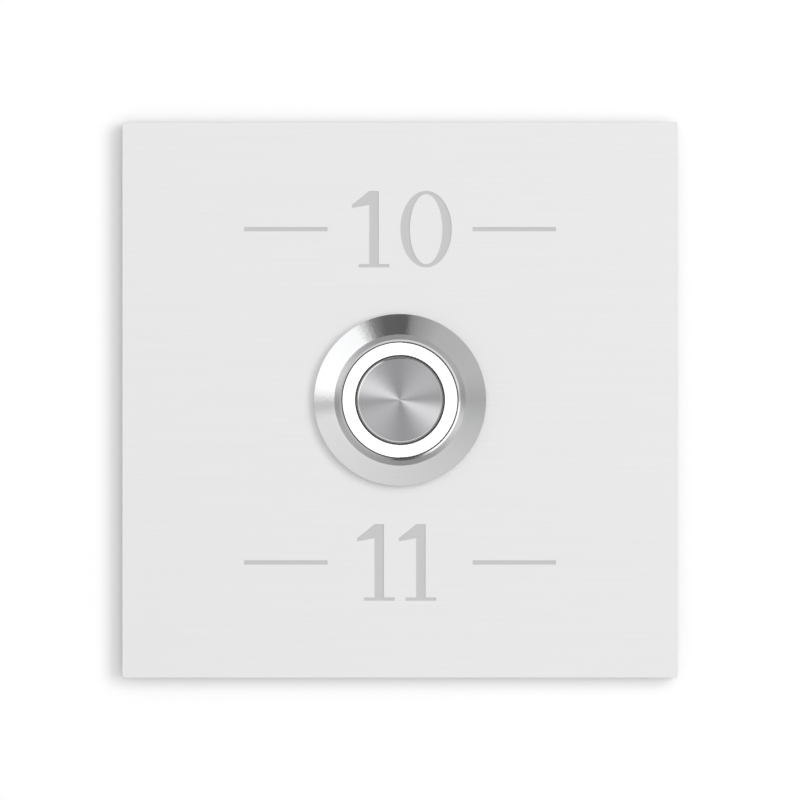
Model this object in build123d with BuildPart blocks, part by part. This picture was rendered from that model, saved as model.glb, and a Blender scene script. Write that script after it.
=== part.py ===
from build123d import *
import math
import os

os.makedirs("parts", exist_ok=True)

# Lit doorbell push button on a square stainless wall plate, in millimetres.
# X is to the right, Z is up and the front faces -Y. The origin is on the wall plane, on the button's axis.

# Wall plate
plate_side = 80.0
plate_thick = 2.0
plate_corner_radius = 0.4
plate_edge_chamfer = 0.05
plate_hole_clearance = 0.1

# Engraved lines: a plain number between two rules, above and below the button
engraving_depth = 0.12
upper_line_z = 24.6
lower_line_z = -23.4
digit_height = 11.0
digit_space = 1.6
digit_stem = 1.35
digit_hairline = 0.45
zero_width = 7.4
one_foot = 4.4
one_flag_reach = 2.5
one_flag_drop = 2.0
rule_length = 12.0
rule_thick = 0.6
rule_gap = 3.0

# Foam gasket between the plate and the wall
gasket_thick = 1.0
gasket_inset = 2.0
gasket_border = 7.0
gasket_corner_radius = 2.0

# Weld studs on the back of the plate
stud_radius = 2.0
stud_length = 21.0
stud_inset = 7.0
stud_foot_radius = 2.75
stud_foot_thick = 0.8
stud_foot_clearance = 0.6
stud_tip_chamfer = 0.5

# Button front, from the axis outwards
cap_radius = 6.08
cap_gap = 0.37
ring_width = 1.85
ring_gap = 0.12
lip_width = 0.29
land_width = 0.69
shoulder_width = 0.58
barrel_wall = 2.0
flange_overhang = 1.4

# Button front, heights along the axis
flange_height = 2.7
flange_rim_height = 1.2
lip_depth = 0.15
crest_round = 0.05
rim_round = 0.06
cap_recess = 0.4
ring_recess = 0.6
ring_edge_round = 0.12

# Flange seal, lock washer and nut
flange_foot = 0.5
seal_recess_depth = 0.45
seal_side_clearance = 0.05
washer_thick = 0.8
washer_width = 2.4
washer_teeth = 12
washer_notch_width = 1.3
washer_notch_depth = 0.9
nut_thick = 4.0
nut_wall = 2.0
nut_bore_clearance = 0.06
nut_corner_chamfer = 0.7

# Barrel
shoulder_depth = 0.6
barrel_fit = 0.1
barrel_end_chamfer = 0.4
barrel_lip = 0.8

# Cap and plunger
travel = 2.0
cap_face_thick = 0.9
cap_wall = 0.7
cap_length = 2.4
cap_edge_chamfer = 0.12
cap_dish = 0.1
cap_fit = 0.04
plunger_clearance = 0.15
plunger_flange_thick = 1.4
seal_section_radius = 0.38
seal_running_fit = 0.06
seal_groove_clearance = 0.04
collar_thick = 2.0
guide_fit = 0.08
stop_gap = 0.02

# Return spring
spring_rest_length = 6.5
spring_wire = 0.6
spring_turns = 5.0
spring_seat_margin = 1.0
spring_shaft_gap = 0.7
spring_end_gap = 0.04

# Plunger clip
clip_thick = 0.5
clip_groove_depth = 0.6
clip_reach = 1.2
clip_opening = 4.0
clip_fit = 0.04
clip_shoulder = 0.6

# Contact bridge on the plunger's tail
tail_radius = 1.0
tail_end = 0.6
contact_spring_length = 2.1
contact_spring_wire = 0.3
contact_spring_turns = 3.0
contact_spring_gap = 0.35
bridge_thick = 0.4
bridge_width = 3.2
bridge_end = 1.1
bridge_fit = 0.05
keeper_thick = 0.35
keeper_width = 0.7
keeper_fit = 0.02
tip_radius = 0.8
tip_height = 0.5
tip_edge_round = 0.2

# Light ring and lamp board
tube_wall = 0.6
tube_margin = 0.2
ring_flange_thick = 1.2
ring_skirt_wall = 0.65
lamp_pocket_depth = 0.8
board_thick = 1.0
board_hole_clearance = 0.1
led_count = 6
led_length = 1.6
led_side_gap = 0.2
led_top_gap = 0.15
resistor_count = 2
resistor_length = 1.5
resistor_height = 0.45

# Contact block, terminal base and lugs
block_cavity_clearance = 0.15
base_thick = 3.0
barrier_height = 5.0
barrier_thick = 1.4
barrier_width = 8.0
barrier_chamfer = 0.25
lug_thick = 0.5
lug_width = 2.8
lug_inset = 0.6
lug_length = 8.0
lug_eye_radius = 0.6
lug_eye_inset = 1.6
lug_corner = 0.5
lug_fit = 0.05
foot_reach = 1.5
foot_end = 1.1
lamp_lug_width = 2.0
lamp_lug_length = 7.0
lamp_lug_set_back = 0.1

# Snap ring behind the terminal base
snap_thick = 0.7
snap_groove_depth = 0.45
snap_groove_clearance = 0.05
snap_lug_gap = 0.15
snap_opening = 6.0

# Heights of the plate and gasket, with y growing towards the wall
plate_back = -gasket_thick
plate_front = plate_back - plate_thick
washer_back = plate_back + washer_thick

# Radii of the button, from the cap outwards
ring_inner_radius = cap_radius + cap_gap
ring_outer_radius = ring_inner_radius + ring_width
bore_radius = ring_outer_radius + ring_gap
land_inner_radius = bore_radius + lip_width
crest_radius = land_inner_radius + land_width
barrel_bore_radius = bore_radius + shoulder_width
barrel_radius = barrel_bore_radius + barrel_wall
flange_radius = barrel_radius + flange_overhang
stack_radius = barrel_bore_radius - barrel_fit

# Heights of the button's front
crest_y = plate_front - flange_height
rim_y = plate_front - flange_rim_height
lip_y = crest_y + lip_depth
cap_front = crest_y + cap_recess
ring_front = crest_y + ring_recess

# Heights of the light ring and lamp board, from the shoulder in the housing
shoulder_y = plate_front + shoulder_depth
pocket_front = shoulder_y + ring_flange_thick
board_front = pocket_front + lamp_pocket_depth
board_back = board_front + board_thick

# Heights of the plunger and what it carries, from the cap
head_front = cap_front + cap_face_thick
cap_end = cap_front + cap_length
plunger_flange_back = cap_end + plunger_flange_thick
tube_end = plunger_flange_back + travel + tube_margin
collar_front = plunger_flange_back + spring_rest_length
collar_back = collar_front + collar_thick
clip_front = collar_back + stop_gap
clip_back = clip_front + clip_thick
shaft_end = clip_back + clip_shoulder
bridge_front = shaft_end + contact_spring_length
bridge_back = bridge_front + bridge_thick
tail_back = bridge_back + keeper_thick + tail_end

# Heights of the fixed contacts, the base and the barrel's end, from the bridge at full travel
fixed_tip_front = bridge_back + tip_height + travel + stop_gap
foot_front = fixed_tip_front + tip_height
base_front = foot_front + lug_thick
base_back = base_front + base_thick
snap_back = base_back + snap_thick
groove_back = snap_back + snap_groove_clearance
barrel_end = groove_back + barrel_lip

# Radii inside the button
tube_radius = ring_inner_radius + tube_wall
skirt_radius = stack_radius - ring_skirt_wall
pocket_radius = (tube_radius + skirt_radius) / 2
led_width = skirt_radius - tube_radius - 2 * led_side_gap
plunger_radius = ring_inner_radius - plunger_clearance
cap_bore_radius = cap_radius - cap_wall
spring_radius = plunger_radius - spring_seat_margin - spring_wire / 2
shaft_radius = spring_radius - spring_wire / 2 - spring_shaft_gap
clip_groove_radius = shaft_radius - clip_groove_depth
cavity_radius = tube_radius + block_cavity_clearance
lamp_lug_radius = (cavity_radius + stack_radius) / 2
lug_outer_x = cavity_radius - lug_inset
tip_x = lug_outer_x - lug_thick - foot_reach

# Pitches of the two numbers, and the place of the rules beside the wider one
mixed_pitch = (one_foot + zero_width) / 2 + digit_space
ones_pitch = one_foot + digit_space
rule_x = (mixed_pitch + zero_width) / 2 + rule_gap + rule_length / 2


def corner(outline, radius, y):
    """The vertex of an outline that lies nearest to a point, to be rounded or cut."""
    return outline.vertices().sort_by_distance((radius, y))[0]


def engrave_one(x, z):
    """Draws the digit one in the open sketch: a stem with a flag and a foot."""
    top = digit_height / 2
    flag_root = -digit_stem / 2
    with Locations((x, z)):
        Rectangle(digit_stem, digit_height)
        Polygon(
            (flag_root, top),
            (flag_root - one_flag_reach, top - one_flag_drop),
            (flag_root - one_flag_reach, top - one_flag_drop - digit_hairline),
            (flag_root, top - one_flag_drop),
            align=None,
        )
    with Locations((x, z - top + digit_hairline / 2)):
        Rectangle(one_foot, digit_hairline)


def engrave_zero(x, z):
    """Draws the digit zero in the open sketch, with thick sides and a thin top and bottom."""
    with Locations((x, z)):
        Ellipse(zero_width / 2, digit_height / 2)
        Ellipse(zero_width / 2 - digit_stem, digit_height / 2 - digit_hairline, mode=Mode.SUBTRACT)


def engrave_rules(z):
    """Draws the two rules that flank a number in the open sketch."""
    with Locations((-rule_x, z), (rule_x, z)):
        Rectangle(rule_length, rule_thick)


# Square stainless plate, with the button's hole and the shallow engraved numbers.
with BuildPart() as front_plate:
    with BuildSketch(Plane.XZ.offset(-plate_back)):
        RectangleRounded(plate_side, plate_side, plate_corner_radius)
    extrude(amount=plate_thick)
    chamfer(front_plate.faces().sort_by(Axis.Y)[0].edges(), plate_edge_chamfer)
    with BuildSketch(Plane.XZ.offset(-plate_back)):
        Circle(barrel_radius + plate_hole_clearance)
    extrude(amount=plate_thick, mode=Mode.SUBTRACT)
    with BuildSketch(Plane.XZ.offset(-plate_front)):
        engrave_zero(mixed_pitch / 2, upper_line_z)
        engrave_one(-mixed_pitch / 2, upper_line_z)
        engrave_rules(upper_line_z)
        engrave_one(-ones_pitch / 2, lower_line_z)
        engrave_one(ones_pitch / 2, lower_line_z)
        engrave_rules(lower_line_z)
    extrude(amount=-engraving_depth, mode=Mode.SUBTRACT)

# Foam gasket with a round window for the wall box and holes for the studs.
gasket_side = plate_side - 2 * gasket_inset
stud_spacing = plate_side - 2 * stud_inset
with BuildPart() as wall_gasket:
    with BuildSketch(Plane.XZ.offset(-plate_back)):
        RectangleRounded(gasket_side, gasket_side, gasket_corner_radius)
        Circle(gasket_side / 2 - gasket_border, mode=Mode.SUBTRACT)
        with GridLocations(stud_spacing, stud_spacing, 2, 2):
            Circle(stud_foot_radius + stud_foot_clearance, mode=Mode.SUBTRACT)
    extrude(amount=-gasket_thick)

# Four weld studs, each with a foot against the plate and a plain shank of the thread's outer size.
with BuildPart() as weld_studs:
    with BuildSketch(Plane.XZ.offset(-plate_back)):
        with GridLocations(stud_spacing, stud_spacing, 2, 2):
            Circle(stud_foot_radius)
    extrude(amount=-stud_foot_thick)
    with BuildSketch(Plane.XZ.offset(-plate_back - stud_foot_thick)):
        with GridLocations(stud_spacing, stud_spacing, 2, 2):
            Circle(stud_radius)
    extrude(amount=stud_foot_thick - stud_length)
    chamfer(weld_studs.edges().group_by(Axis.Y)[-1], stud_tip_chamfer)

# Turned steel housing: bevelled flange, flat land, thin lip and the barrel with its snap ring groove.
with BuildPart() as button_housing:
    with BuildSketch(Plane.XY) as housing_outline:
        with BuildLine():
            Polyline(
                (bore_radius, lip_y),
                (land_inner_radius, crest_y),
                (crest_radius, crest_y),
                (flange_radius, rim_y),
                (flange_radius, plate_front),
                (flange_radius - flange_foot, plate_front),
                (flange_radius - flange_foot, plate_front - seal_recess_depth),
                (barrel_radius, plate_front - seal_recess_depth),
                (barrel_radius, barrel_end),
                (barrel_bore_radius, barrel_end),
                (barrel_bore_radius, groove_back),
                (barrel_bore_radius + snap_groove_depth, groove_back),
                (barrel_bore_radius + snap_groove_depth, base_back),
                (barrel_bore_radius, base_back),
                (barrel_bore_radius, shoulder_y),
                (bore_radius, shoulder_y),
                close=True,
            )
        make_face()
        fillet(corner(housing_outline, crest_radius, crest_y), crest_round)
        fillet(corner(housing_outline, flange_radius, rim_y), rim_round)
        chamfer(corner(housing_outline, barrel_radius, barrel_end), barrel_end_chamfer)
    revolve(axis=Axis.Y)

# Rubber ring in the recess under the flange.
with BuildPart() as flange_seal:
    with BuildSketch(Plane.XZ.offset(-plate_front)):
        Circle(flange_radius - flange_foot - seal_side_clearance)
        Circle(barrel_radius + seal_side_clearance, mode=Mode.SUBTRACT)
    extrude(amount=seal_recess_depth)

# Toothed lock washer behind the plate.
washer_bore_radius = barrel_radius + plate_hole_clearance
with BuildPart() as lock_washer:
    with BuildSketch(Plane.XZ.offset(-plate_back)):
        Circle(washer_bore_radius + washer_width)
        Circle(washer_bore_radius, mode=Mode.SUBTRACT)
        with PolarLocations(washer_bore_radius, washer_teeth):
            Rectangle(2 * washer_notch_depth, washer_notch_width, mode=Mode.SUBTRACT)
    extrude(amount=-washer_thick)

# Hexagon nut with turned corners.
nut_flat_radius = barrel_radius + nut_wall
nut_corner_radius = nut_flat_radius / math.cos(math.pi / 6)
with BuildPart() as hex_nut:
    with BuildSketch(Plane.XZ.offset(-washer_back)):
        RegularPolygon(nut_flat_radius, 6, major_radius=False)
        Circle(barrel_radius + nut_bore_clearance, mode=Mode.SUBTRACT)
    extrude(amount=-nut_thick)
    with BuildSketch(Plane.XY):
        with BuildLine():
            Polyline(
                (0, washer_back),
                (nut_corner_radius - nut_corner_chamfer, washer_back),
                (nut_corner_radius, washer_back + nut_corner_chamfer),
                (nut_corner_radius, washer_back + nut_thick - nut_corner_chamfer),
                (nut_corner_radius - nut_corner_chamfer, washer_back + nut_thick),
                (0, washer_back + nut_thick),
                close=True,
            )
        make_face()
    revolve(axis=Axis.Y, mode=Mode.INTERSECT)

# Light ring: clear tube that shows in front, a flange under the shoulder and a pocket for the lamps.
with BuildPart() as light_ring:
    with BuildSketch(Plane.XY) as ring_outline:
        with BuildLine():
            Polyline(
                (ring_inner_radius, ring_front),
                (ring_outer_radius, ring_front),
                (ring_outer_radius, shoulder_y),
                (stack_radius, shoulder_y),
                (stack_radius, board_front),
                (skirt_radius, board_front),
                (skirt_radius, pocket_front),
                (tube_radius, pocket_front),
                (tube_radius, tube_end),
                (ring_inner_radius, tube_end),
                close=True,
            )
        make_face()
        fillet(ring_outline.vertices().group_by(Axis.Y)[0], ring_edge_round)
    revolve(axis=Axis.Y)

# Ring-shaped lamp board, slotted for the two lamp lugs.
with BuildPart() as led_board:
    with BuildSketch(Plane.XZ.offset(-board_front)):
        Circle(stack_radius)
        Circle(tube_radius + board_hole_clearance, mode=Mode.SUBTRACT)
        with Locations((0, lamp_lug_radius), (0, -lamp_lug_radius)):
            Rectangle(lamp_lug_width + 2 * lug_fit, lug_thick + 2 * lug_fit, mode=Mode.SUBTRACT)
    extrude(amount=-board_thick)

# Lamp chips in the ring's pocket.
with BuildPart() as leds:
    with BuildSketch(Plane.XZ.offset(-board_front)):
        with PolarLocations(pocket_radius, led_count):
            Rectangle(led_width, led_length)
    extrude(amount=lamp_pocket_depth - led_top_gap)

# Chip resistors between the lamps.
with BuildPart() as resistors:
    with BuildSketch(Plane.XZ.offset(-board_front)):
        with PolarLocations(pocket_radius, resistor_count, start_angle=180 / led_count):
            Rectangle(led_width, resistor_length)
    extrude(amount=resistor_height)

# Turned steel cap: a shallow cup with a faintly hollow face and a bevelled edge.
with BuildPart() as button_cap:
    with BuildSketch(Plane.XY):
        with BuildLine():
            TangentArc(
                (0, cap_front + cap_dish),
                (cap_radius - cap_edge_chamfer, cap_front),
                tangent=(1, 0),
            )
            Polyline(
                (cap_radius - cap_edge_chamfer, cap_front),
                (cap_radius, cap_front + cap_edge_chamfer),
                (cap_radius, cap_end),
                (cap_bore_radius, cap_end),
                (cap_bore_radius, head_front),
                (0, head_front),
                (0, cap_front + cap_dish),
            )
        make_face()
    revolve(axis=Axis.Y)

# Moulded plunger: head in the cap, seal groove, guided shaft, clip groove and the tail for the bridge.
head_radius = cap_bore_radius - cap_fit
seal_y = (cap_end + plunger_flange_back) / 2
seal_radius = ring_inner_radius - seal_running_fit - seal_section_radius
seal_groove_half = seal_section_radius + seal_groove_clearance
seal_floor_radius = seal_radius - seal_groove_half
with BuildPart() as plunger:
    with BuildSketch(Plane.XY):
        with BuildLine():
            Polyline(
                (0, head_front),
                (head_radius, head_front),
                (head_radius, cap_end),
                (plunger_radius, cap_end),
                (plunger_radius, seal_y - seal_groove_half),
                (seal_floor_radius, seal_y - seal_groove_half),
                (seal_floor_radius, seal_y + seal_groove_half),
                (plunger_radius, seal_y + seal_groove_half),
                (plunger_radius, plunger_flange_back),
                (shaft_radius, plunger_flange_back),
                (shaft_radius, clip_front - clip_fit),
                (clip_groove_radius, clip_front - clip_fit),
                (clip_groove_radius, clip_back + clip_fit),
                (shaft_radius, clip_back + clip_fit),
                (shaft_radius, shaft_end),
                (tail_radius, shaft_end),
                (tail_radius, tail_back),
                (0, tail_back),
                close=True,
            )
        make_face()
    revolve(axis=Axis.Y)

# Sliding O-ring on the plunger.
with BuildPart() as plunger_seal:
    with BuildSketch(Plane.XY):
        with Locations((seal_radius, seal_y)):
            Circle(seal_section_radius)
    revolve(axis=Axis.Y)

# Return spring between the plunger's flange and the guide collar.
spring_first = plunger_flange_back + spring_wire / 2 + spring_end_gap
spring_height = collar_front - spring_wire / 2 - spring_end_gap - spring_first
with BuildPart() as return_spring:
    with BuildLine() as spring_coil:
        Helix(
            spring_height / spring_turns,
            spring_height,
            spring_radius,
            center=(0, spring_first, 0),
            direction=(0, 1, 0),
        )
    with BuildSketch(Plane(spring_coil.line @ 0, z_dir=spring_coil.line % 0)):
        Circle(spring_wire / 2)
    sweep(path=spring_coil.line, is_frenet=True)

# Open clip in the plunger's groove, which stops it at rest against the guide collar.
clip_radius = shaft_radius + clip_reach
with BuildPart() as plunger_clip:
    with BuildSketch(Plane.XZ.offset(-clip_front)):
        Circle(clip_radius)
        Circle(clip_groove_radius + clip_fit, mode=Mode.SUBTRACT)
        Rectangle(clip_opening, clip_radius, align=(Align.CENTER, Align.MAX), mode=Mode.SUBTRACT)
    extrude(amount=-clip_thick)

# Contact spring that presses the bridge to the end of the plunger's tail.
contact_first = shaft_end + contact_spring_wire / 2 + spring_end_gap
contact_height = bridge_front - contact_spring_wire / 2 - spring_end_gap - contact_first
with BuildPart() as contact_spring:
    with BuildLine() as contact_coil:
        Helix(
            contact_height / contact_spring_turns,
            contact_height,
            tail_radius + contact_spring_gap + contact_spring_wire / 2,
            center=(0, contact_first, 0),
            direction=(0, 1, 0),
        )
    with BuildSketch(Plane(contact_coil.line @ 0, z_dir=contact_coil.line % 0)):
        Circle(contact_spring_wire / 2)
    sweep(path=contact_coil.line, is_frenet=True)

# Bridge strip across the two contacts.
with BuildPart() as contact_bridge:
    with BuildSketch(Plane.XZ.offset(-bridge_front)):
        SlotOverall(2 * (tip_x + bridge_end), bridge_width)
        Circle(tail_radius + bridge_fit, mode=Mode.SUBTRACT)
    extrude(amount=-bridge_thick)

# Contact rivets on the back of the bridge.
with BuildPart() as moving_tips:
    with BuildSketch(Plane.XZ.offset(-bridge_back)):
        with Locations((-tip_x, 0), (tip_x, 0)):
            Circle(tip_radius)
    extrude(amount=-tip_height)
    fillet(moving_tips.edges().group_by(Axis.Y)[-1], tip_edge_round)

# Push-on washer that holds the bridge on the tail.
with BuildPart() as bridge_keeper:
    with BuildSketch(Plane.XZ.offset(-bridge_back)):
        Circle(tail_radius + keeper_width)
        Circle(tail_radius + keeper_fit, mode=Mode.SUBTRACT)
    extrude(amount=-keeper_thick)

# Moulded contact block: spring cavity in front, guide collar, contact chamber behind and lamp lug channels.
guide_radius = shaft_radius + guide_fit
with BuildPart() as contact_block:
    with BuildSketch(Plane.XY):
        with BuildLine():
            Polyline(
                (cavity_radius, board_back),
                (stack_radius, board_back),
                (stack_radius, base_front),
                (cavity_radius, base_front),
                (cavity_radius, collar_back),
                (guide_radius, collar_back),
                (guide_radius, collar_front),
                (cavity_radius, collar_front),
                close=True,
            )
        make_face()
    revolve(axis=Axis.Y)
    with BuildSketch(Plane.XZ.offset(-base_front)):
        with Locations((0, lamp_lug_radius), (0, -lamp_lug_radius)):
            Rectangle(lamp_lug_width + 2 * lug_fit, lug_thick + 2 * lug_fit)
    extrude(amount=base_front - board_back, mode=Mode.SUBTRACT)

# Moulded terminal base: rear disc with the lugs' slots and a barrier between the bell lugs.
lug_middle_x = lug_outer_x - lug_thick / 2
with BuildPart() as terminal_base:
    with BuildSketch(Plane.XZ.offset(-base_front)):
        Circle(stack_radius)
        with Locations((lug_middle_x, 0), (-lug_middle_x, 0)):
            Rectangle(lug_thick + 2 * lug_fit, lug_width + 2 * lug_fit, mode=Mode.SUBTRACT)
        with Locations((0, lamp_lug_radius), (0, -lamp_lug_radius)):
            Rectangle(lamp_lug_width + 2 * lug_fit, lug_thick + 2 * lug_fit, mode=Mode.SUBTRACT)
    extrude(amount=-base_thick)
    with BuildSketch(Plane.XZ.offset(-base_back)):
        Rectangle(barrier_thick, barrier_width)
    extrude(amount=-barrier_height)
    chamfer(terminal_base.edges().group_by(Axis.Y)[-1], barrier_chamfer)

# Open snap ring in the barrel's groove, which holds the whole stack.
with BuildPart() as base_snap_ring:
    with BuildSketch(Plane.XZ.offset(-base_back)):
        Circle(barrel_bore_radius + snap_groove_depth - snap_groove_clearance)
        Circle(lamp_lug_radius + lug_thick / 2 + snap_lug_gap, mode=Mode.SUBTRACT)
        Rectangle(snap_opening, barrel_radius, align=(Align.CENTER, Align.MAX), mode=Mode.SUBTRACT)
    extrude(amount=-snap_thick)

# Bell wire lugs: straight blades through the base, bent to a contact foot inside.
lug_end = base_back + lug_length
bell_lugs = {}
for lug_name, side in (("common_lug", -1), ("switched_lug", 1)):
    with BuildPart() as bell_lug:
        with BuildSketch(Plane.XY):
            with BuildLine():
                Polyline(
                    (side * (tip_x - foot_end), foot_front),
                    (side * lug_outer_x, foot_front),
                    (side * lug_outer_x, lug_end),
                    (side * (lug_outer_x - lug_thick), lug_end),
                    (side * (lug_outer_x - lug_thick), base_front),
                    (side * (tip_x - foot_end), base_front),
                    close=True,
                )
            make_face()
        extrude(amount=lug_width / 2, both=True)
        chamfer(bell_lug.edges().filter_by(Axis.X).group_by(Axis.Y)[-1], lug_corner)
        with BuildSketch(Plane.YZ):
            with Locations((lug_end - lug_eye_inset, 0)):
                Circle(lug_eye_radius)
        extrude(amount=lug_outer_x, both=True, mode=Mode.SUBTRACT)
    bell_lugs[lug_name] = bell_lug

# Contact rivets on the feet of the bell lugs.
with BuildPart() as fixed_tips:
    with BuildSketch(Plane.XZ.offset(-foot_front)):
        with Locations((-tip_x, 0), (tip_x, 0)):
            Circle(tip_radius)
    extrude(amount=tip_height)
    fillet(fixed_tips.edges().group_by(Axis.Y)[0], tip_edge_round)

# Lamp lugs: straight blades from the lamp board, through the block and the base.
lamp_lug_front = board_front + lamp_lug_set_back
lamp_lug_end = base_back + lamp_lug_length
lamp_lugs = {}
for lug_name, side in (("lamp_plus_lug", 1), ("lamp_minus_lug", -1)):
    with BuildPart() as lamp_lug:
        with BuildSketch(Plane.XZ.offset(-lamp_lug_front)):
            with Locations((0, side * lamp_lug_radius)):
                Rectangle(lamp_lug_width, lug_thick)
        extrude(amount=lamp_lug_front - lamp_lug_end)
        chamfer(lamp_lug.edges().filter_by(Axis.Z).group_by(Axis.Y)[-1], lug_corner)
        with BuildSketch(Plane.XY):
            with Locations((0, lamp_lug_end - lug_eye_inset)):
                Circle(lug_eye_radius)
        extrude(amount=stack_radius, both=True, mode=Mode.SUBTRACT)
    lamp_lugs[lug_name] = lamp_lug

# One file for each piece.
pieces = {
    "front_plate": front_plate,
    "wall_gasket": wall_gasket,
    "weld_studs": weld_studs,
    "button_housing": button_housing,
    "flange_seal": flange_seal,
    "lock_washer": lock_washer,
    "hex_nut": hex_nut,
    "light_ring": light_ring,
    "led_board": led_board,
    "leds": leds,
    "resistors": resistors,
    "button_cap": button_cap,
    "plunger": plunger,
    "plunger_seal": plunger_seal,
    "return_spring": return_spring,
    "plunger_clip": plunger_clip,
    "contact_spring": contact_spring,
    "contact_bridge": contact_bridge,
    "moving_tips": moving_tips,
    "bridge_keeper": bridge_keeper,
    "contact_block": contact_block,
    "terminal_base": terminal_base,
    "base_snap_ring": base_snap_ring,
    "fixed_tips": fixed_tips,
    **bell_lugs,
    **lamp_lugs,
}
for name, piece in pieces.items():
    piece.part.label = name
    export_step(piece.part, f"parts/{name}.step")
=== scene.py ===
import math

import bmesh
import bpy
from mathutils import Matrix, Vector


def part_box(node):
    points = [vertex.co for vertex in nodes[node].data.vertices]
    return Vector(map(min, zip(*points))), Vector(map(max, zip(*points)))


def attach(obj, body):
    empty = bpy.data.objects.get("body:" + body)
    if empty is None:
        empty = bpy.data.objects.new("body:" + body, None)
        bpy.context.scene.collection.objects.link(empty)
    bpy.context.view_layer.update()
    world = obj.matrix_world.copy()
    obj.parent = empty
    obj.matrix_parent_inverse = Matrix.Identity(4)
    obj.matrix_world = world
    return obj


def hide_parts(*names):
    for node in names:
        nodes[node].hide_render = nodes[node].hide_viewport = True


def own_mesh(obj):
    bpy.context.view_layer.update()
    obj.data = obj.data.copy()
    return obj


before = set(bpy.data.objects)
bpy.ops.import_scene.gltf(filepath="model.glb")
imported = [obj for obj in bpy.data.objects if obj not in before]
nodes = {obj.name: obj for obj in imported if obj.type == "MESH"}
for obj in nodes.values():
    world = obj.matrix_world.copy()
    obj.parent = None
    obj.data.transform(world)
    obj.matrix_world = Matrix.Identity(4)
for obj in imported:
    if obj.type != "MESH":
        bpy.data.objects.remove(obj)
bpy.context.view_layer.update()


# Wall gasket: a frame of black closed-cell foam, die cut and stuck to the back of the plate.
# It seals the plate to the wall and leaves a round window over the wall box.
mm = 0.001
cloud_share = 0.12


def new_material(name):
    """A material with one Principled shader, as the material, its tree and the shader."""
    material = bpy.data.materials.new(name)
    material.use_nodes = True
    return material, material.node_tree, material.node_tree.nodes["Principled BSDF"]


def add(tree, kind, inputs=None, **settings):
    """Adds a shader node. An input is a number, a colour or another node's output."""
    made = tree.nodes.new("ShaderNode" + kind)
    for name, value in settings.items():
        setattr(made, name, value)
    for socket, value in (inputs or {}).items():
        if isinstance(value, bpy.types.NodeSocket):
            tree.links.new(value, made.inputs[socket])
        else:
            made.inputs[socket].default_value = value
    return made


def maths(tree, operation, *values):
    """The result of one operation on numbers and other nodes' outputs."""
    return add(tree, "Math", dict(enumerate(values)), operation=operation).outputs[0]


def between(tree, factor, low, high):
    """A value that runs from low to high as the factor runs from 0 to 1."""
    return add(tree, "MapRange", {"Value": factor, "To Min": low, "To Max": high}).outputs["Result"]


def mix(tree, factor, low, high):
    """A colour that runs from low to high as the factor runs from 0 to 1; each is a tint or an output."""
    ends = [end if isinstance(end, bpy.types.NodeSocket) else (*end, 1) for end in (low, high)]
    return add(tree, "Mix", {0: factor, 6: ends[0], 7: ends[1]}, data_type="RGBA").outputs[2]


def bump(tree, shader, height, depth):
    """Feeds a height pattern, in metres at full depth, to the shader's normal."""
    made = add(tree, "Bump", {"Strength": 1.0, "Distance": depth, "Height": height})
    tree.links.new(made.outputs["Normal"], shader.inputs["Normal"])


def new_group(name, inputs, outputs):
    """A shader node group with float sockets, as the group, its input node and its output node."""
    group = bpy.data.node_groups.new(name, "ShaderNodeTree")
    for socket in inputs:
        group.interface.new_socket(name=socket, in_out="INPUT", socket_type="NodeSocketFloat")
    for socket in outputs:
        group.interface.new_socket(name=socket, in_out="OUTPUT", socket_type="NodeSocketFloat")
    return group, group.nodes.new("NodeGroupInput"), group.nodes.new("NodeGroupOutput")


def place_group(tree, group, **values):
    """Places a node group in a material with its own values."""
    made = tree.nodes.new("ShaderNodeGroup")
    made.node_tree = group
    for socket, value in values.items():
        made.inputs[socket].default_value = value
    return made


def speckle_group():
    """Fine grain and slow clouds that mouldings, foam and plating share."""
    group, given, result = new_group("speckle", ["Scale"], ["Fine", "Cloud"])
    place = add(group, "TexCoord").outputs["Object"]
    fine_scale = given.outputs["Scale"]
    cloud_scale = maths(group, "MULTIPLY", fine_scale, cloud_share)
    fine = add(group, "TexNoise", {"Vector": place, "Scale": fine_scale, "Detail": 3.0})
    cloud = add(group, "TexNoise", {"Vector": place, "Scale": cloud_scale, "Detail": 2.0})
    group.links.new(fine.outputs["Fac"], result.inputs["Fine"])
    group.links.new(cloud.outputs["Fac"], result.inputs["Cloud"])
    return group


speckle = speckle_group()


def speckled_finish(name, scale, dark, light, smooth, rough, depth, metallic=0.0):
    """A material whose colour, roughness and height follow the speckle."""
    material, tree, shader = new_material(name)
    grain = place_group(tree, speckle, Scale=scale).outputs
    tree.links.new(mix(tree, grain["Cloud"], dark, light), shader.inputs["Base Color"])
    tree.links.new(between(tree, grain["Fine"], smooth, rough), shader.inputs["Roughness"])
    bump(tree, shader, grain["Fine"], depth)
    shader.inputs["Metallic"].default_value = metallic
    return material


def finish_node(name, material):
    """Gives a CAD node its finish."""
    nodes[name].data.materials.clear()
    nodes[name].data.materials.append(material)


foam = speckled_finish(
    "foam", scale=2600.0, dark=(0.018, 0.018, 0.019), light=(0.045, 0.045, 0.047),
    smooth=0.80, rough=0.98, depth=0.10 * mm,
)
finish_node("wall_gasket", foam)


# Front plate: 2 mm stainless sheet, cut square, with a fine bright satin face and broken edges.
# The numbers and rules are engraved a tenth of a millimetre deep and come out darker and matt.
plate_low, plate_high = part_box("front_plate")
plate_front = plate_low.y
engraving_depth = 0.12 * mm
floor_start = 0.4 * engraving_depth
skin_depth = 1.6 * engraving_depth
side_margin = 0.002 * mm
grain_along = 60.0
grain_across = 5200.0
grain_depth = 0.0015 * mm
face_grey = 0.89
face_spread = 0.02
face_metal = 0.28
face_smooth = 0.38
face_rough = 0.50
engraved_grey = 0.66
engraved_rough = 0.72
bare_grey = 0.64
bare_spread = 0.04


def grey(level):
    """A neutral tint."""
    return (level, level, level)


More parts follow.
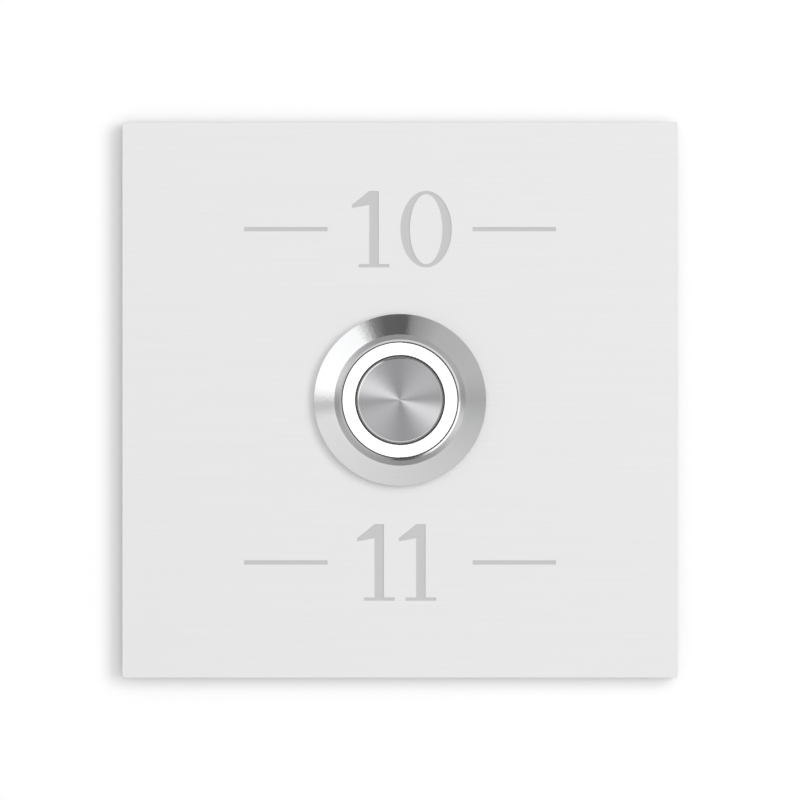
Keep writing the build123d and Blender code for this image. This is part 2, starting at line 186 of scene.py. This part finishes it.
def coordinates(tree, kind="Object"):
    """The separate X, Y and Z outputs of the place that is shaded."""
    return add(tree, "SeparateXYZ", {0: add(tree, "TexCoord").outputs[kind]}).outputs


def satin_group():
    """Straight grinding grain that runs along X."""
    group, given, result = new_group("satin_grain", ["Along", "Across"], ["Grain"])
    place = add(group, "TexCoord").outputs["Object"]
    across = given.outputs["Across"]
    stretch = add(group, "CombineXYZ", {"X": given.outputs["Along"], "Y": across, "Z": across})
    drawn = add(group, "VectorMath", {0: place, 1: stretch.outputs[0]}, operation="MULTIPLY")
    grain = add(group, "TexNoise", {"Vector": drawn.outputs[0], "Scale": 1.0, "Detail": 2.0})
    group.links.new(grain.outputs["Fac"], result.inputs["Grain"])
    return group


satin = satin_group()


def plate_finish():
    """Satin steel: a bright ground face, a darker engraved floor below it, and bare sides and back."""
    material, tree, shader = new_material("satin_plate")
    place = coordinates(tree)
    across = maths(tree, "ABSOLUTE", place["X"])
    upright = maths(tree, "ABSOLUTE", place["Z"])
    reach = maths(tree, "MAXIMUM", across, upright)
    within = maths(tree, "LESS_THAN", reach, plate_high.x - side_margin)
    skin = maths(tree, "LESS_THAN", place["Y"], plate_front + skin_depth)
    sunk = maths(tree, "GREATER_THAN", place["Y"], plate_front + floor_start)
    face = maths(tree, "MULTIPLY", within, skin)
    cut = maths(tree, "MULTIPLY", face, sunk)

    grain = place_group(tree, satin, Along=grain_along, Across=grain_across).outputs["Grain"]
    ground = mix(tree, grain, grey(face_grey - face_spread), grey(face_grey + face_spread))
    bare = mix(tree, grain, grey(bare_grey - bare_spread), grey(bare_grey + bare_spread))
    outside = mix(tree, face, bare, ground)
    tree.links.new(mix(tree, cut, outside, grey(engraved_grey)), shader.inputs["Base Color"])
    satin_rough = between(tree, grain, face_smooth, face_rough)
    tree.links.new(between(tree, cut, satin_rough, engraved_rough), shader.inputs["Roughness"])
    tree.links.new(between(tree, face, 1.0, face_metal), shader.inputs["Metallic"])
    bump(tree, shader, grain, grain_depth)
    return material


finish_node("front_plate", plate_finish())


# Weld studs: four M4 studs of plain steel, welded by their flat feet to the back of the plate.
# The rolled thread starts above the foot and ends in a chamfered tip.
stud_low, stud_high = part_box("weld_studs")
stud_foot_radius = 2.75 * mm
stud_foot_thick = 0.8 * mm
stud_foot_round = 0.15 * mm
stud_foot_back = stud_low.y + stud_foot_thick
stud_radius = 2.0 * mm
stud_root_radius = 1.62 * mm
stud_pitch = 0.7 * mm
stud_tip = 0.2 * mm
stud_place = stud_high.x - stud_foot_radius


def turn(bm, outline, steps, rounded=()):
    """Spins a closed outline of (radius, y) points about the Y axis, with no edge on the axis itself.

    rounded lists the corners that are rounded, as (point, radius) pairs.
    """
    corners = [bm.verts.new((radius, y, 0)) for radius, y in outline]
    for index, corner in enumerate(corners):
        if outline[index - 1][0] or outline[index][0]:
            bm.edges.new((corners[index - 1], corner))
    for index, radius in rounded:
        bmesh.ops.bevel(bm, geom=[corners[index]], affect="VERTICES", offset=radius, segments=4,
                        profile=0.5, material=-1)
    wire = [v for v in bm.verts if v.is_wire] + [e for e in bm.edges if e.is_wire]
    bmesh.ops.spin(bm, geom=wire, cent=(0, 0, 0), axis=(0, 1, 0), angle=2 * math.pi,
                   steps=steps, use_merge=True)


def only_verts(geom):
    """The vertices among what a bmesh operator gives back."""
    return [item for item in geom if isinstance(item, bmesh.types.BMVert)]


def join_mesh(bm, other):
    """Adds a second bmesh to the first and frees it."""
    carried = bpy.data.meshes.new("carried")
    other.to_mesh(carried)
    other.free()
    bm.from_mesh(carried)
    bpy.data.meshes.remove(carried)


def cut_thread(bm, root, crest, pitch, start, end, steps):
    """Winds a closed ridge of trapezium section about the Y axis, run out to the root at both ends."""
    flank = 0.47 * pitch
    land = 0.07 * pitch
    sunk = root - 0.1 * pitch
    section = [
        (sunk, -flank),
        (root, -flank),
        (crest, -land),
        (crest, land),
        (root, flank),
        (sunk, flank),
    ]
    ridge = bmesh.new()
    corners = [ridge.verts.new((radius, start + y, 0)) for radius, y in section]
    for index, corner in enumerate(corners):
        ridge.edges.new((corners[index - 1], corner))
    bmesh.ops.spin(ridge, geom=ridge.verts[:] + ridge.edges[:], cent=(0, 0, 0), axis=(0, 1, 0),
                   dvec=(0, pitch / steps, 0), angle=2 * math.pi, steps=steps)
    one_turn = ridge.verts[:] + ridge.edges[:] + ridge.faces[:]
    for lift in range(1, int((end - start) / pitch)):
        copied = bmesh.ops.duplicate(ridge, geom=one_turn)["geom"]
        bmesh.ops.translate(ridge, verts=only_verts(copied), vec=(0, lift * pitch, 0))
    bmesh.ops.remove_doubles(ridge, verts=ridge.verts, dist=0.001 * pitch)
    open_ends = [edge for edge in ridge.edges if edge.is_boundary]
    bmesh.ops.holes_fill(ridge, edges=open_ends, sides=len(section))
    for vertex in ridge.verts:
        reach = math.hypot(vertex.co.x, vertex.co.z)
        room = root + max(0.0, min(vertex.co.y - start - flank, end - vertex.co.y))
        if reach > room:
            vertex.co.x *= room / reach
            vertex.co.z *= room / reach
    join_mesh(bm, ridge)


def finish_mesh(bm, name, body, finishes, replaced=None, sharp=35.0):
    """Turns a bmesh into a smooth-shaded piece that rides on a body and may stand for a CAD node."""
    bmesh.ops.remove_doubles(bm, verts=bm.verts, dist=0.0005 * mm)
    bmesh.ops.recalc_face_normals(bm, faces=bm.faces)
    mesh = bpy.data.meshes.new(name)
    bm.to_mesh(mesh)
    bm.free()
    mesh.shade_smooth()
    mesh.set_sharp_from_angle(angle=math.radians(sharp))
    for finish in finishes:
        mesh.materials.append(finish)
    piece = bpy.data.objects.new(name, mesh)
    bpy.context.scene.collection.objects.link(piece)
    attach(piece, body)
    if replaced:
        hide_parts(replaced)
    return piece


stud_steel = speckled_finish(
    "stud_steel", scale=1500.0, dark=(0.50, 0.50, 0.49), light=(0.62, 0.62, 0.60),
    smooth=0.28, rough=0.42, depth=0.004 * mm, metallic=1.0,
)
studs = bmesh.new()
turn(
    studs,
    [
        (0, stud_low.y),
        (stud_foot_radius, stud_low.y),
        (stud_foot_radius, stud_foot_back),
        (stud_root_radius, stud_foot_back),
        (stud_root_radius, stud_high.y - stud_tip),
        (stud_root_radius - stud_tip, stud_high.y),
        (0, stud_high.y),
    ],
    steps=40,
    rounded=[(2, stud_foot_round)],
)
cut_thread(studs, stud_root_radius, stud_radius, stud_pitch, stud_foot_back + stud_pitch,
           stud_high.y - stud_tip, steps=28)
first_stud = studs.verts[:] + studs.edges[:] + studs.faces[:]
for x, z in ((1, -1), (-1, 1), (-1, -1)):
    copied = bmesh.ops.duplicate(studs, geom=first_stud)["geom"]
    bmesh.ops.translate(studs, verts=only_verts(copied), vec=(x * stud_place, 0, z * stud_place))
bmesh.ops.translate(studs, verts=only_verts(first_stud), vec=(stud_place, 0, stud_place))
finish_mesh(studs, "threaded_studs", "base", [stud_steel], "weld_studs")


# Button housing: one piece of stainless bar, turned to a bevelled flange with a flat land and a thin lip,
# and a barrel behind. The bevel and the lip are polished and the land is faced.
# The barrel carries a fine 22 mm thread for the nut.
housing_low, housing_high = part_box("button_housing")
snap_low, snap_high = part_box("base_snap_ring")
flange_radius = housing_high.x
crest_y = housing_low.y
barrel_end = housing_high.y
bore_radius = 8.42 * mm
land_inner_radius = 8.71 * mm
land_depth = 0.02 * mm
crest_radius = 9.40 * mm
edge_round = 0.04 * mm
lip_y = crest_y + 0.15 * mm
rim_y = plate_front - 1.2 * mm
flange_foot = 0.5 * mm
seal_recess = 0.45 * mm
shoulder_y = plate_front + 0.6 * mm
barrel_bore_radius = 9.0 * mm
barrel_radius = 11.0 * mm
barrel_root_radius = 10.42 * mm
barrel_pitch = 1.0 * mm
barrel_tip = 0.2 * mm
snap_groove_radius = 9.45 * mm
snap_groove_back = snap_high.y + 0.05 * mm
drift_share = 0.08
scuff_scale = 1900.0


def axis_distance(tree, place):
    """How far a place, given by its separate coordinates, lies from the Y axis."""
    flat = add(tree, "CombineXYZ", {"X": place["X"], "Y": place["Z"]})
    return add(tree, "VectorMath", {0: flat.outputs[0]}, operation="LENGTH").outputs["Value"]


def lathe_group():
    """Turning marks: rings about the Y axis, with a drifting depth."""
    group, given, result = new_group("turning_marks", ["Pitch"], ["Ring", "Drift"])
    radius = axis_distance(group, coordinates(group))
    turns = maths(group, "DIVIDE", radius, given.outputs["Pitch"])
    slow = maths(group, "MULTIPLY", turns, drift_share)
    rings = add(group, "TexNoise", {"W": turns, "Scale": 1.0, "Detail": 2.0}, noise_dimensions="1D")
    drift = add(group, "TexNoise", {"W": slow, "Scale": 1.0, "Detail": 1.0}, noise_dimensions="1D")
    group.links.new(rings.outputs["Fac"], result.inputs["Ring"])
    group.links.new(drift.outputs["Fac"], result.inputs["Drift"])
    return group


turning_marks = lathe_group()


def turned_finish(name, pitch, dark, light, smooth, rough, depth, scuffs=0.0):
    """Steel with turning marks in its colour, roughness and height, and scuffs of a given depth."""
    material, tree, shader = new_material(name)
    marks = place_group(tree, turning_marks, Pitch=pitch).outputs
    tree.links.new(mix(tree, marks["Drift"], dark, light), shader.inputs["Base Color"])
    tree.links.new(between(tree, marks["Ring"], smooth, rough), shader.inputs["Roughness"])
    height = marks["Ring"]
    if scuffs:
        worn = place_group(tree, speckle, Scale=scuff_scale).outputs["Fine"]
        height = maths(tree, "MULTIPLY_ADD", worn, scuffs / depth, height)
    bump(tree, shader, height, depth)
    shader.inputs["Metallic"].default_value = 1.0
    return material


def faced_finish(name, **marks):
    """Turned steel whose fine circles spread a highlight outwards, so that it fans from the axis."""
    material = turned_finish(name, **marks)
    tree = material.node_tree
    shader = tree.nodes["Principled BSDF"]
    shader.inputs["Anisotropic"].default_value = 1.0
    shader.inputs["Anisotropic Rotation"].default_value = 0.25
    circles = add(tree, "Tangent", direction_type="RADIAL", axis="Y")
    tree.links.new(circles.outputs["Tangent"], shader.inputs["Tangent"])
    return material


polished_steel = turned_finish(
    "polished_flange", pitch=0.05 * mm, dark=(0.70, 0.702, 0.709), light=(0.73, 0.732, 0.739),
    smooth=0.05, rough=0.09, depth=0.0001 * mm, scuffs=0.008 * mm,
)
faced_steel = faced_finish(
    "faced_land", pitch=0.035 * mm, dark=(0.59, 0.592, 0.604), light=(0.625, 0.627, 0.639),
    smooth=0.30, rough=0.36, depth=0.0001 * mm,
)
barrel_steel = turned_finish(
    "turned_barrel", pitch=0.05 * mm, dark=(0.64, 0.642, 0.649), light=(0.69, 0.692, 0.699),
    smooth=0.18, rough=0.28, depth=0.0003 * mm,
)
housing_finishes = [polished_steel, faced_steel, barrel_steel]
housing = bmesh.new()
turn(
    housing,
    [
        (bore_radius, lip_y),
        (land_inner_radius, crest_y),
        (crest_radius, crest_y),
        (flange_radius, rim_y),
        (flange_radius, plate_front),
        (flange_radius - flange_foot, plate_front),
        (flange_radius - flange_foot, plate_front - seal_recess),
        (barrel_root_radius, plate_front - seal_recess),
        (barrel_root_radius, barrel_end - barrel_tip),
        (barrel_root_radius - barrel_tip, barrel_end),
        (barrel_bore_radius, barrel_end),
        (barrel_bore_radius, snap_groove_back),
        (snap_groove_radius, snap_groove_back),
        (snap_groove_radius, snap_low.y),
        (barrel_bore_radius, snap_low.y),
        (barrel_bore_radius, shoulder_y),
        (bore_radius, shoulder_y),
    ],
    steps=192,
    rounded=[(2, edge_round), (3, edge_round)],
)
cut_thread(housing, barrel_root_radius, barrel_radius, barrel_pitch, plate_high.y + barrel_pitch,
           barrel_end - barrel_tip, steps=96)
for face in housing.faces:
    middle = face.calc_center_median()
    on_land = middle.y < crest_y + land_depth and math.hypot(middle.x, middle.z) > land_inner_radius
    if middle.y > plate_front:
        face.material_index = housing_finishes.index(barrel_steel)
    elif on_land:
        face.material_index = housing_finishes.index(faced_steel)
finish_mesh(housing, "turned_housing", "base", housing_finishes, "button_housing",
            sharp=20.0)


# Flange seal: a black rubber ring squeezed under the flange, against the plate.
# Its edge never shows past the flange.
seal_rubber = speckled_finish(
    "seal_rubber", scale=3500.0, dark=(0.012, 0.012, 0.012), light=(0.030, 0.030, 0.030),
    smooth=0.50, rough=0.68, depth=0.01 * mm,
)
finish_node("flange_seal", seal_rubber)


# Light ring: a frosted plastic ring, lit from behind, which glows white at its front face.
# Its side walls are coated grey, so that little light leaks into the gaps beside it; the grey is also
# painted shade that keeps those narrow gaps dark.
ring_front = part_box("light_ring")[0].y
ring_face_depth = 0.04 * mm
ring_middle_radius = 7.4 * mm
ring_glow = 0.5
inner_wall_glow = 0.26
outer_wall_glow = 0.06
# Grey of the wall coat: an opaque coat, and also painted shade for the gaps beside the ring.
coat_and_gap_shade_grey = 0.20
frost_scale = 4000.0
frost_depth = 0.002 * mm
frost_dark = 0.86
frost_light = 0.92
frost_smooth = 0.38
frost_rough = 0.52


def ring_finish():
    """White glow on the front face; on the walls a grey coat, partly painted shade for the gaps, with a
    faint glow.
    """
    material, tree, shader = new_material("lit_ring")
    place = coordinates(tree)
    face = add(tree, "MapRange", {
        "Value": place["Y"],
        "From Min": ring_front + ring_face_depth,
        "From Max": ring_front + 0.5 * ring_face_depth,
    }).outputs["Result"]
    outer = maths(tree, "GREATER_THAN", axis_distance(tree, place), ring_middle_radius)
    leak = mix(tree, outer, grey(inner_wall_glow), grey(outer_wall_glow))
    frost = place_group(tree, speckle, Scale=frost_scale).outputs["Fine"]
    white = mix(tree, frost, grey(frost_dark), grey(frost_light))
    # The walls take the coat's grey, which is partly painted shade for the gaps; the front face takes the
    # frosted white.
    tree.links.new(mix(tree, face, grey(coat_and_gap_shade_grey), white), shader.inputs["Base Color"])
    tree.links.new(mix(tree, face, leak, grey(1.0)), shader.inputs["Emission Color"])
    shader.inputs["Emission Strength"].default_value = ring_glow
    tree.links.new(between(tree, frost, frost_smooth, frost_rough), shader.inputs["Roughness"])
    bump(tree, shader, frost, frost_depth)
    return material


finish_node("light_ring", ring_finish())


# Lamp board and its chips: a ring of green laminate with yellow-faced lamp chips and black resistors.
# They are soldered on and sit behind the light ring, between its pocket and the contact block.
solder_mask = speckled_finish(
    "solder_mask", scale=1800.0, dark=(0.02, 0.16, 0.06), light=(0.03, 0.24, 0.09),
    smooth=0.30, rough=0.42, depth=0.006 * mm,
)
lamp_chip = speckled_finish(
    "lamp_chip", scale=5000.0, dark=(0.78, 0.74, 0.42), light=(0.88, 0.84, 0.55),
    smooth=0.35, rough=0.50, depth=0.004 * mm,
)
resistor_body = speckled_finish(
    "resistor_body", scale=5000.0, dark=(0.015, 0.015, 0.016), light=(0.030, 0.030, 0.032),
    smooth=0.35, rough=0.50, depth=0.004 * mm,
)
finish_node("led_board", solder_mask)
finish_node("leds", lamp_chip)
finish_node("resistors", resistor_body)


# Button cap: a shallow steel cup, faced on a lathe, so that its front shows fine circles and a fan of
# highlights inside a narrow polished edge. It is pressed onto the plunger and slides in the light ring.
cap_low, cap_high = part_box("button_cap")
cap_radius = cap_high.x
cap_front = cap_low.y
cap_edge_width = 0.14 * mm
cap_edge_depth = 0.07 * mm
cap_dish = 0.10 * mm
cap_wall = 0.7 * mm
cap_face = 0.9 * mm
dish_steps = 10

cap_steel = faced_finish(
    "faced_cap", pitch=0.035 * mm, dark=(0.66, 0.662, 0.676), light=(0.70, 0.702, 0.716),
    smooth=0.30, rough=0.36, depth=0.0001 * mm,
)
cap_finishes = [cap_steel, polished_steel]
dish_edge = cap_radius - cap_edge_width
dish_points = [
    (dish_edge * step / dish_steps, cap_front + cap_dish * (1 - (step / dish_steps) ** 2))
    for step in range(dish_steps + 1)
]
cap = bmesh.new()
turn(
    cap,
    dish_points
    + [
        (cap_radius, cap_front + cap_edge_depth),
        (cap_radius, cap_high.y),
        (cap_radius - cap_wall, cap_high.y),
        (cap_radius - cap_wall, cap_front + cap_face),
        (0, cap_front + cap_face),
    ],
    steps=160,
)
for face in cap.faces:
    middle = face.calc_center_median()
    if middle.y < cap_front + cap_edge_depth and math.hypot(middle.x, middle.z) > dish_edge:
        face.material_index = cap_finishes.index(polished_steel)
finish_mesh(cap, "turned_cap", "button", cap_finishes, "button_cap", sharp=20.0)


# Plunger group: a white acetal plunger inside the cap, with a sliding rubber ring and an open steel clip.
# The clip rests under the guide collar and stops the plunger when the button is let go.
acetal = speckled_finish(
    "acetal", scale=2200.0, dark=(0.74, 0.74, 0.71), light=(0.82, 0.82, 0.80),
    smooth=0.38, rough=0.50, depth=0.004 * mm,
)
spring_steel = speckled_finish(
    "spring_steel", scale=2400.0, dark=(0.42, 0.42, 0.42), light=(0.52, 0.52, 0.51),
    smooth=0.24, rough=0.36, depth=0.002 * mm, metallic=1.0,
)
finish_node("plunger", acetal)
finish_node("plunger_seal", seal_rubber)
finish_node("plunger_clip", spring_steel)


# Return spring: a coil of spring wire between the plunger's flange and the guide collar.
# It is drawn as a wound round wire; the real spring shortens as the button is pressed.
spring_low, spring_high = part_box("return_spring")
spring_wire = 0.6 * mm
spring_turns = 5
spring_steps = 36 * spring_turns
spring_length = spring_high.y - spring_low.y
coil = bmesh.new()
wire_ring = bmesh.ops.create_circle(coil, segments=12, radius=spring_wire / 2, cap_ends=True)["verts"]
bmesh.ops.translate(coil, verts=wire_ring,
                    vec=(spring_high.x - spring_wire / 2, spring_low.y + spring_wire / 2, 0))
bmesh.ops.spin(
    coil,
    geom=coil.verts[:] + coil.edges[:] + coil.faces[:],
    cent=(0, 0, 0),
    axis=(0, 1, 0),
    dvec=(0, (spring_length - spring_wire) / spring_steps, 0),
    angle=2 * math.pi * spring_turns,
    steps=spring_steps,
)
return_spring = finish_mesh(coil, "wound_spring", "base", [spring_steel],
                            "return_spring")
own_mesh(return_spring)


# Contact bridge group: a stamped bronze strip with two silver rivets, on the plunger's tail.
# A small coil spring presses it against a push-on washer.
bronze = speckled_finish(
    "bronze_strip", scale=1500.0, dark=(0.70, 0.48, 0.27), light=(0.80, 0.58, 0.34),
    smooth=0.25, rough=0.38, depth=0.002 * mm, metallic=1.0,
)
contact_silver = speckled_finish(
    "contact_silver", scale=3000.0, dark=(0.80, 0.80, 0.77), light=(0.90, 0.90, 0.88),
    smooth=0.20, rough=0.34, depth=0.002 * mm, metallic=1.0,
)
nickel_plate = speckled_finish(
    "nickel_plate", scale=900.0, dark=(0.66, 0.64, 0.60), light=(0.74, 0.72, 0.68),
    smooth=0.24, rough=0.34, depth=0.0012 * mm, metallic=1.0,
)
finish_node("contact_bridge", bronze)
finish_node("moving_tips", contact_silver)
finish_node("contact_spring", spring_steel)
finish_node("bridge_keeper", nickel_plate)


# Contact block and terminal base: black moulded plastic, pushed into the barrel one after the other.
# The base carries the lugs, a barrier between the bell lugs, and a raised plus and minus by the lamp lugs.
black_moulding = speckled_finish(
    "black_moulding", scale=4200.0, dark=(0.014, 0.014, 0.015), light=(0.026, 0.026, 0.028),
    smooth=0.42, rough=0.58, depth=0.012 * mm,
)
finish_node("contact_block", black_moulding)
finish_node("terminal_base", black_moulding)

base_back = snap_low.y
mark_size = 1.5 * mm
mark_height = 0.25 * mm
mark_root = 0.05 * mm
mark_edge = 0.05 * mm
mark_x = 2.8 * mm
mark_z = 5.9 * mm
outer_cell = mark_size / 4
upright_mark = Matrix.Rotation(math.radians(-90), 3, "X")
marks = bmesh.new()
for sign in (1, -1):
    mark = bmesh.new()
    bmesh.ops.create_grid(mark, x_segments=3, y_segments=3, size=mark_size / 2)
    spare = [
        face for face in mark.faces
        if abs(face.calc_center_median().y) > outer_cell
        and (sign < 0 or abs(face.calc_center_median().x) > outer_cell)
    ]
    bmesh.ops.delete(mark, geom=spare, context="FACES")
    bmesh.ops.dissolve_faces(mark, faces=mark.faces[:], use_verts=False)
    top = only_verts(bmesh.ops.extrude_face_region(mark, geom=mark.faces[:])["geom"])
    bmesh.ops.translate(mark, verts=top, vec=(0, 0, mark_root + mark_height))
    rim = [edge for edge in mark.edges if all(v in top for v in edge.verts)]
    bmesh.ops.bevel(mark, geom=rim, affect="EDGES", offset=mark_edge, segments=2, profile=0.5,
                    material=-1)
    bmesh.ops.rotate(mark, verts=mark.verts, cent=(0, 0, 0), matrix=upright_mark)
    bmesh.ops.translate(mark, verts=mark.verts, vec=(mark_x, base_back - mark_root, sign * mark_z))
    join_mesh(marks, mark)
finish_mesh(marks, "polarity_marks", "base", [black_moulding])


# Snap ring: an open ring punched from spring steel, with its gap at the bottom.
# It springs into the barrel's groove and holds the whole stack in place.
finish_node("base_snap_ring", spring_steel)


# Lugs: stamped brass blades, tinned, with a round eye for the wire.
# The two bell lugs carry silver rivets on their feet inside the block.
tinned_brass = speckled_finish(
    "tinned_brass", scale=1300.0, dark=(0.66, 0.63, 0.55), light=(0.78, 0.76, 0.71),
    smooth=0.26, rough=0.44, depth=0.003 * mm, metallic=1.0,
)
for lug in ("common_lug", "switched_lug", "lamp_plus_lug", "lamp_minus_lug"):
    finish_node(lug, tinned_brass)
finish_node("fixed_tips", contact_silver)


# Nut and lock washer: a nickel-plated brass nut and a toothed spring washer.
# They clamp the button's flange to the plate from behind.
finish_node("hex_nut", nickel_plate)
finish_node("lock_washer", nickel_plate)


# Wall: plain white, open behind the plate to the outline of the gasket. It keeps the plate's shadow.
# From behind it is clear, so that the back of the object shows.
wall_reach = 0.9
wall_white = 0.90
wall_rough = 0.9
wall_lift = 0.15
opening_gap = 0.05 * mm
gasket_corner = 2.0 * mm
wall_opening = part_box("wall_gasket")[1].x + opening_gap
opening_corner = gasket_corner + opening_gap


def wall_finish():
    """White paint that shows as full white to the camera, and nothing at all from its back."""
    material, tree, shader = new_material("white_wall")
    shader.inputs["Base Color"].default_value = (*grey(wall_white), 1)
    shader.inputs["Roughness"].default_value = wall_rough
    shader.inputs["Specular IOR Level"].default_value = 0.0
    lifted = maths(tree, "MULTIPLY", add(tree, "LightPath").outputs["Is Camera Ray"], wall_lift)
    lift = add(tree, "Emission", {"Color": (1, 1, 1, 1), "Strength": lifted})
    front = add(tree, "AddShader", {0: shader.outputs[0], 1: lift.outputs[0]})
    clear = add(tree, "BsdfTransparent")
    back = add(tree, "NewGeometry").outputs["Backfacing"]
    seen = add(tree, "MixShader", {0: back, 1: front.outputs[0], 2: clear.outputs[0]})
    tree.links.new(seen.outputs[0], tree.nodes["Material Output"].inputs["Surface"])
    return material


sheet = bmesh.new()
opening = [
    sheet.verts.new((x * wall_opening, 0, z * wall_opening))
    for x, z in ((1, 1), (-1, 1), (-1, -1), (1, -1))
]
for index, corner in enumerate(opening):
    sheet.edges.new((opening[index - 1], corner))
bmesh.ops.bevel(sheet, geom=opening, affect="VERTICES", offset=opening_corner, segments=6,
                profile=0.5, material=-1)
spread = bmesh.ops.extrude_edge_only(sheet, edges=sheet.edges[:])["geom"]
bmesh.ops.scale(sheet, verts=only_verts(spread),
                vec=(wall_reach / wall_opening, 1, wall_reach / wall_opening))
sheet.normal_update()
turned_away = [face for face in sheet.faces if face.normal.y > 0]
bmesh.ops.reverse_faces(sheet, faces=turned_away)
wall_mesh = bpy.data.meshes.new("wall")
sheet.to_mesh(wall_mesh)
sheet.free()
wall_mesh.materials.append(wall_finish())
wall = bpy.data.objects.new("wall", wall_mesh)
bpy.context.scene.collection.objects.link(wall)


# Studio light: two softboxes towards the right, a small lamp at the camera and one behind for back views.
# Polished steel reflects a tent round the camera: two rings of panels, brightest at the upper left.
# A panel is an angle in degrees, anticlockwise from the right, and its level.
tent_centre = 0.78
tent_edge = 0.54
near_panels = [
    (-180, 0.00), (-173, 0.00), (-160, 0.67), (-138, 0.63), (-120, 0.25), (-92, 0.00), (-66, 0.00),
    (-50, 0.02), (-34, 1.02), (-22, 1.55), (-14, 1.61), (-3, 0.11), (4, 0.29), (16, 0.69),
    (60, 0.83), (88, 0.54), (112, 0.54), (130, 1.01), (148, 1.59), (166, 1.59), (178, 0.00),
]
far_panels = [
    (-180, 0.88), (-178, 0.75), (-174, 0.75), (-167, 1.00), (-160, 1.00), (-45, 0.78), (-20, 0.69),
    (0, 0.54), (20, 0.64), (60, 0.59), (77, 0.41), (82, 0.32), (85, 0.14), (102, 0.16),
    (110, 0.31), (122, 1.32), (170, 1.46), (176, 1.20), (180, 0.88),
]
near_fade = (0.12, 0.28)
far_fade = (0.60, 0.70)
edge_fade = (0.88, 0.95)
ambient_front = 0.46
ambient_rear = 0.50
horizon = 0.05


def area_light(name, place, width, height, power, facing=1):
    """A flat lamp parallel to the wall, kept out of reflections; it faces +Y, or -Y with facing -1."""
    lamp = bpy.data.lights.new(name, "AREA")
    lamp.shape = "RECTANGLE"
    lamp.size = width
    lamp.size_y = height
    lamp.energy = power
    holder = bpy.data.objects.new(name, lamp)
    holder.location = place
    holder.rotation_euler = (math.radians(90) * facing, 0, 0)
    holder.visible_glossy = False
    bpy.context.scene.collection.objects.link(holder)


area_light("broad_softbox", place=(1.16, -2.25, 0.54), width=2.90, height=3.50, power=27.0)
area_light("side_softbox", place=(1.64, -1.86, 0.54), width=1.50, height=1.65, power=25.0)
area_light("front_lamp", place=(0.00, -1.20, 0.00), width=0.12, height=0.12, power=0.6)
area_light("rear_lamp", place=(-0.40, 0.90, 0.50), width=0.80, height=0.80, power=5.0, facing=-1)


def panel_ring(tree, angle_round, panels):
    """The brightness of a ring of panels at an angle round the axis."""
    share = add(tree, "MapRange", {"Value": angle_round, "From Min": -math.pi, "From Max": math.pi})
    ring = add(tree, "ValToRGB", {"Fac": share.outputs["Result"]})
    stops = ring.color_ramp.elements
    while len(stops) < len(panels):
        stops.new(0.5)
    for stop, (angle, level) in zip(stops, panels, strict=True):
        stop.position = (angle + 180) / 360
        stop.color = (*grey(level), 1)
    return ring.outputs["Color"]


def fade(tree, off_axis, limits, inner, outer):
    """Goes from an inner to an outer colour as a direction leaves the axis."""
    share = add(tree, "MapRange", {"Value": off_axis, "From Min": limits[0], "From Max": limits[1]},
                interpolation_type="SMOOTHSTEP")
    return mix(tree, share.outputs["Result"], inner, outer)


def studio_world():
    """White to the camera, the tent to glossy rays and a plain level to all others."""
    world = bpy.data.worlds.new("studio")
    bpy.context.scene.world = world
    world.use_nodes = True
    world.cycles.sampling_method = "NONE"
    tree = world.node_tree
    way = coordinates(tree, "Generated")
    angle_round = maths(tree, "ARCTAN2", way["Z"], way["X"])
    off_axis = axis_distance(tree, way)
    near = panel_ring(tree, angle_round, near_panels)
    far = panel_ring(tree, angle_round, far_panels)
    tent = fade(tree, off_axis, near_fade, grey(tent_centre), near)
    tent = fade(tree, off_axis, far_fade, tent, far)
    tent = fade(tree, off_axis, edge_fade, tent, grey(tent_edge))
    level = add(tree, "MapRange", {
        "Value": way["Y"],
        "From Min": -horizon,
        "From Max": horizon,
        "To Min": ambient_front,
        "To Max": ambient_rear,
    }).outputs["Result"]
    path = add(tree, "LightPath").outputs
    soft = mix(tree, path["Is Glossy Ray"], level, tent)
    clear = maths(tree, "MAXIMUM", path["Is Camera Ray"], path["Is Transmission Ray"])
    seen = mix(tree, clear, soft, grey(1.0))
    tree.links.new(seen, tree.nodes["Background"].inputs["Color"])


studio_world()


# Camera: straight in front of the plate, level with the button, on a long lens.
# The plate's sides don't show, and the plate fills about seven tenths of the picture.
picture_size = 800
plate_pixels = 555.5
camera_distance = 1.30
sensor = 36.0
seen_width = (plate_high.x - plate_low.x) * picture_size / plate_pixels
lens = bpy.data.cameras.new("camera")
lens.sensor_width = sensor
lens.lens = sensor * camera_distance / seen_width
camera = bpy.data.objects.new("camera", lens)
camera.location = (0, plate_front - camera_distance, 0)
camera.rotation_euler = (math.radians(90), 0, 0)
bpy.context.scene.collection.objects.link(camera)
bpy.context.scene.camera = camera
bpy.context.scene.view_settings.view_transform = "Standard"
